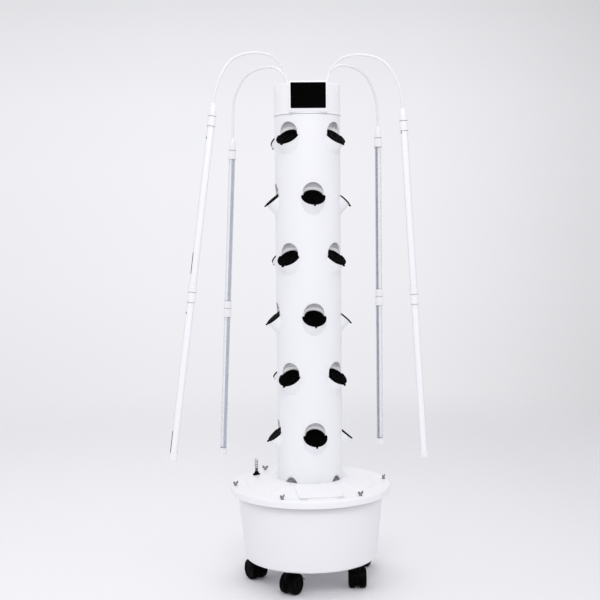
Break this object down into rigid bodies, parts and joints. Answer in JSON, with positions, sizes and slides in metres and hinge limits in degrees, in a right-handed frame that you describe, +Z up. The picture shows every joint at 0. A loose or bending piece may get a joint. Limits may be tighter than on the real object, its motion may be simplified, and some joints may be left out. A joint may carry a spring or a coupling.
{
  "type": "vertical planter tower",
  "caption": "Free-standing vertical planter tower on swivel casters: round water tub, pipe column with slanted net pots, top cap with control screen, hanging light bars.",
  "frame": {"origin": "on the floor under the column's axis", "axes": "+Z up along the column, -Y towards the front, where the lid's hatch and the even rows' front pots are"},
  "size_m": [0.7699, 0.5307, 1.6133],
  "materials": {
    "black_plastic": "satin",
    "caster_plastic": "satin",
    "caster_tyre": "matte",
    "steel_pin": "brushed",
    "white_paint": "gloss",
    "white_fitting": "gloss",
    "lamp_tube": "gloss",
    "white_tub": "gloss",
    "white_lid": "gloss",
    "screw_metal": "cast",
    "black_rubber": "matte",
    "clear_tube": "clear",
    "float_foam": "foam",
    "pump_black": "matte",
    "riser_white": "satin",
    "white_column": "gloss",
    "white_cap": "gloss",
    "screen_glass": "gloss"
  },
  "bodies": {
    "base": {"tub": "white_tub", "lid": "white_lid", "wing_screws": "screw_metal", "caster_stems": "steel_pin", "level_grommet": "black_rubber", "level_tube": "clear_tube", "pump": "pump_black", "riser_pipe": "riser_white", "spray_plate": "riser_white", "column": "white_column"},
    "head": {"top_cap": "white_cap", "control_screen": "screen_glass"},
    "hatch": {"front_hatch": "white_lid"},
    "float": {"level_float": "float_foam"},
    "arm_1_with_light": {"arm_1": "white_paint", "light_1_fittings": "white_fitting", "light_1_tubes": "lamp_tube"},
    "arm_2_with_light": {"arm_2": "white_paint", "light_2_fittings": "white_fitting", "light_2_tubes": "lamp_tube"},
    "arm_3_with_light": {"arm_3": "white_paint", "light_3_fittings": "white_fitting", "light_3_tubes": "lamp_tube"},
    "arm_4_with_light": {"arm_4": "white_paint", "light_4_fittings": "white_fitting", "light_4_tubes": "lamp_tube"},
    "caster_1": {"caster_1_hood": "caster_plastic"},
    "caster_1_wheel_pair": {"caster_1_wheels": "caster_tyre"},
    "caster_2": {"caster_2_hood": "caster_plastic"},
    "caster_2_wheel_pair": {"caster_2_wheels": "caster_tyre"},
    "caster_3": {"caster_3_hood": "caster_plastic"},
    "caster_3_wheel_pair": {"caster_3_wheels": "caster_tyre"},
    "caster_4": {"caster_4_hood": "caster_plastic"},
    "caster_4_wheel_pair": {"caster_4_wheels": "caster_tyre"},
    "caster_5": {"caster_5_hood": "caster_plastic"},
    "caster_5_wheel_pair": {"caster_5_wheels": "caster_tyre"},
    "pot_1_a_lift": {"pot_1_a": "black_plastic"},
    "pot_1_b_lift": {"pot_1_b": "black_plastic"},
    "pot_1_c_lift": {"pot_1_c": "black_plastic"},
    "pot_1_d_lift": {"pot_1_d": "black_plastic"},
    "pot_2_a_lift": {"pot_2_a": "black_plastic"},
    "pot_2_b_lift": {"pot_2_b": "black_plastic"},
    "pot_2_c_lift": {"pot_2_c": "black_plastic"},
    "pot_2_d_lift": {"pot_2_d": "black_plastic"},
    "pot_3_a_lift": {"pot_3_a": "black_plastic"},
    "pot_3_b_lift": {"pot_3_b": "black_plastic"},
    "pot_3_c_lift": {"pot_3_c": "black_plastic"},
    "pot_3_d_lift": {"pot_3_d": "black_plastic"},
    "pot_4_a_lift": {"pot_4_a": "black_plastic"},
    "pot_4_b_lift": {"pot_4_b": "black_plastic"},
    "pot_4_c_lift": {"pot_4_c": "black_plastic"},
    "pot_4_d_lift": {"pot_4_d": "black_plastic"},
    "pot_5_a_lift": {"pot_5_a": "black_plastic"},
    "pot_5_b_lift": {"pot_5_b": "black_plastic"},
    "pot_5_c_lift": {"pot_5_c": "black_plastic"},
    "pot_5_d_lift": {"pot_5_d": "black_plastic"},
    "pot_6_a_lift": {"pot_6_a": "black_plastic"},
    "pot_6_b_lift": {"pot_6_b": "black_plastic"},
    "pot_6_c_lift": {"pot_6_c": "black_plastic"},
    "pot_6_d_lift": {"pot_6_d": "black_plastic"}
  },
  "joints": [
    {"name": "head_lift", "type": "slide", "parent": "base", "child": "head", "axis": [0, 0, 1], "range_m": [0, 0.06]},
    {"name": "hatch_lift", "type": "slide", "parent": "base", "child": "hatch", "axis": [0, 0, 1], "range_m": [0, 0.05]},
    {"name": "float_rise", "type": "slide", "parent": "base", "child": "float", "axis": [0, 0, 1], "range_m": [0, 0.03]},
    {"name": "arm_1_swivel", "type": "hinge", "parent": "head", "child": "arm_1_with_light", "pos_m": [-0.06109, -0.0204, 1.51], "axis": [0, 0, 1], "range_deg": [-30, 30]},
    {"name": "arm_2_swivel", "type": "hinge", "parent": "head", "child": "arm_2_with_light", "pos_m": [-0.05397, 0.03514, 1.51], "axis": [0, 0, 1], "range_deg": [-30, 30]},
    {"name": "arm_3_swivel", "type": "hinge", "parent": "head", "child": "arm_3_with_light", "pos_m": [0.06109, 0.0204, 1.51], "axis": [0, 0, 1], "range_deg": [-30, 30]},
    {"name": "arm_4_swivel", "type": "hinge", "parent": "head", "child": "arm_4_with_light", "pos_m": [0.05397, -0.03514, 1.51], "axis": [0, 0, 1], "range_deg": [-30, 30]},
    {"name": "caster_1_swivel", "type": "hinge", "parent": "base", "child": "caster_1", "pos_m": [-0.09641, -0.15672, 0.06], "axis": [0, 0, 1], "continuous": true},
    {"name": "caster_1_roll", "type": "hinge", "parent": "caster_1", "child": "caster_1_wheel_pair", "pos_m": [-0.08342, -0.14151, 0.03], "axis": [-0.7604, 0.6494, 0], "continuous": true},
    {"name": "caster_2_swivel", "type": "hinge", "parent": "base", "child": "caster_2", "pos_m": [0.11925, -0.14012, 0.06], "axis": [0, 0, 1], "continuous": true},
    {"name": "caster_2_roll", "type": "hinge", "parent": "caster_2", "child": "caster_2_wheel_pair", "pos_m": [0.12238, -0.12037, 0.03], "axis": [-0.9877, 0.1564, 0], "continuous": true},
    {"name": "caster_3_swivel", "type": "hinge", "parent": "base", "child": "caster_3", "pos_m": [0.17012, 0.07012, 0.06], "axis": [0, 0, 1], "continuous": true},
    {"name": "caster_3_roll", "type": "hinge", "parent": "caster_3", "child": "caster_3_wheel_pair", "pos_m": [0.18012, 0.08744, 0.03], "axis": [-0.866, 0.5, 0], "continuous": true},
    {"name": "caster_4_swivel", "type": "hinge", "parent": "base", "child": "caster_4", "pos_m": [-0.01412, 0.18346, 0.06], "axis": [0, 0, 1], "continuous": true},
    {"name": "caster_4_roll", "type": "hinge", "parent": "caster_4", "child": "caster_4_wheel_pair", "pos_m": [-0.01759, 0.20315, 0.03], "axis": [-0.9848, -0.1736, 0], "continuous": true},
    {"name": "caster_5_swivel", "type": "hinge", "parent": "base", "child": "caster_5", "pos_m": [-0.17884, 0.04327, 0.06], "axis": [0, 0, 1], "continuous": true},
    {"name": "caster_5_roll", "type": "hinge", "parent": "caster_5", "child": "caster_5_wheel_pair", "pos_m": [-0.17039, 0.02514, 0.03], "axis": [0.9063, 0.4226, 0], "continuous": true},
    {"name": "pot_1_a_slide", "type": "slide", "parent": "base", "child": "pot_1_a_lift", "axis": [0.4545, -0.4545, 0.766], "range_m": [0, 0.075]},
    {"name": "pot_1_b_slide", "type": "slide", "parent": "base", "child": "pot_1_b_lift", "axis": [0.4545, 0.4545, 0.766], "range_m": [0, 0.075]},
    {"name": "pot_1_c_slide", "type": "slide", "parent": "base", "child": "pot_1_c_lift", "axis": [-0.4545, 0.4545, 0.766], "range_m": [0, 0.075]},
    {"name": "pot_1_d_slide", "type": "slide", "parent": "base", "child": "pot_1_d_lift", "axis": [-0.4545, -0.4545, 0.766], "range_m": [0, 0.075]},
    {"name": "pot_2_a_slide", "type": "slide", "parent": "base", "child": "pot_2_a_lift", "axis": [0, -0.6428, 0.766], "range_m": [0, 0.075]},
    {"name": "pot_2_b_slide", "type": "slide", "parent": "base", "child": "pot_2_b_lift", "axis": [0.6428, 0, 0.766], "range_m": [0, 0.075]},
    {"name": "pot_2_c_slide", "type": "slide", "parent": "base", "child": "pot_2_c_lift", "axis": [0, 0.6428, 0.766], "range_m": [0, 0.075]},
    {"name": "pot_2_d_slide", "type": "slide", "parent": "base", "child": "pot_2_d_lift", "axis": [-0.6428, 0, 0.766], "range_m": [0, 0.075]},
    {"name": "pot_3_a_slide", "type": "slide", "parent": "base", "child": "pot_3_a_lift", "axis": [0.4545, -0.4545, 0.766], "range_m": [0, 0.075]},
    {"name": "pot_3_b_slide", "type": "slide", "parent": "base", "child": "pot_3_b_lift", "axis": [0.4545, 0.4545, 0.766], "range_m": [0, 0.075]},
    {"name": "pot_3_c_slide", "type": "slide", "parent": "base", "child": "pot_3_c_lift", "axis": [-0.4545, 0.4545, 0.766], "range_m": [0, 0.075]},
    {"name": "pot_3_d_slide", "type": "slide", "parent": "base", "child": "pot_3_d_lift", "axis": [-0.4545, -0.4545, 0.766], "range_m": [0, 0.075]},
    {"name": "pot_4_a_slide", "type": "slide", "parent": "base", "child": "pot_4_a_lift", "axis": [0, -0.6428, 0.766], "range_m": [0, 0.075]},
    {"name": "pot_4_b_slide", "type": "slide", "parent": "base", "child": "pot_4_b_lift", "axis": [0.6428, 0, 0.766], "range_m": [0, 0.075]},
    {"name": "pot_4_c_slide", "type": "slide", "parent": "base", "child": "pot_4_c_lift", "axis": [0, 0.6428, 0.766], "range_m": [0, 0.075]},
    {"name": "pot_4_d_slide", "type": "slide", "parent": "base", "child": "pot_4_d_lift", "axis": [-0.6428, 0, 0.766], "range_m": [0, 0.075]},
    {"name": "pot_5_a_slide", "type": "slide", "parent": "base", "child": "pot_5_a_lift", "axis": [0.4545, -0.4545, 0.766], "range_m": [0, 0.075]},
    {"name": "pot_5_b_slide", "type": "slide", "parent": "base", "child": "pot_5_b_lift", "axis": [0.4545, 0.4545, 0.766], "range_m": [0, 0.075]},
    {"name": "pot_5_c_slide", "type": "slide", "parent": "base", "child": "pot_5_c_lift", "axis": [-0.4545, 0.4545, 0.766], "range_m": [0, 0.075]},
    {"name": "pot_5_d_slide", "type": "slide", "parent": "base", "child": "pot_5_d_lift", "axis": [-0.4545, -0.4545, 0.766], "range_m": [0, 0.075]},
    {"name": "pot_6_a_slide", "type": "slide", "parent": "base", "child": "pot_6_a_lift", "axis": [0, -0.6428, 0.766], "range_m": [0, 0.075]},
    {"name": "pot_6_b_slide", "type": "slide", "parent": "base", "child": "pot_6_b_lift", "axis": [0.6428, 0, 0.766], "range_m": [0, 0.075]},
    {"name": "pot_6_c_slide", "type": "slide", "parent": "base", "child": "pot_6_c_lift", "axis": [0, 0.6428, 0.766], "range_m": [0, 0.075]},
    {"name": "pot_6_d_slide", "type": "slide", "parent": "base", "child": "pot_6_d_lift", "axis": [-0.6428, 0, 0.766], "range_m": [0, 0.075]}
  ]
}
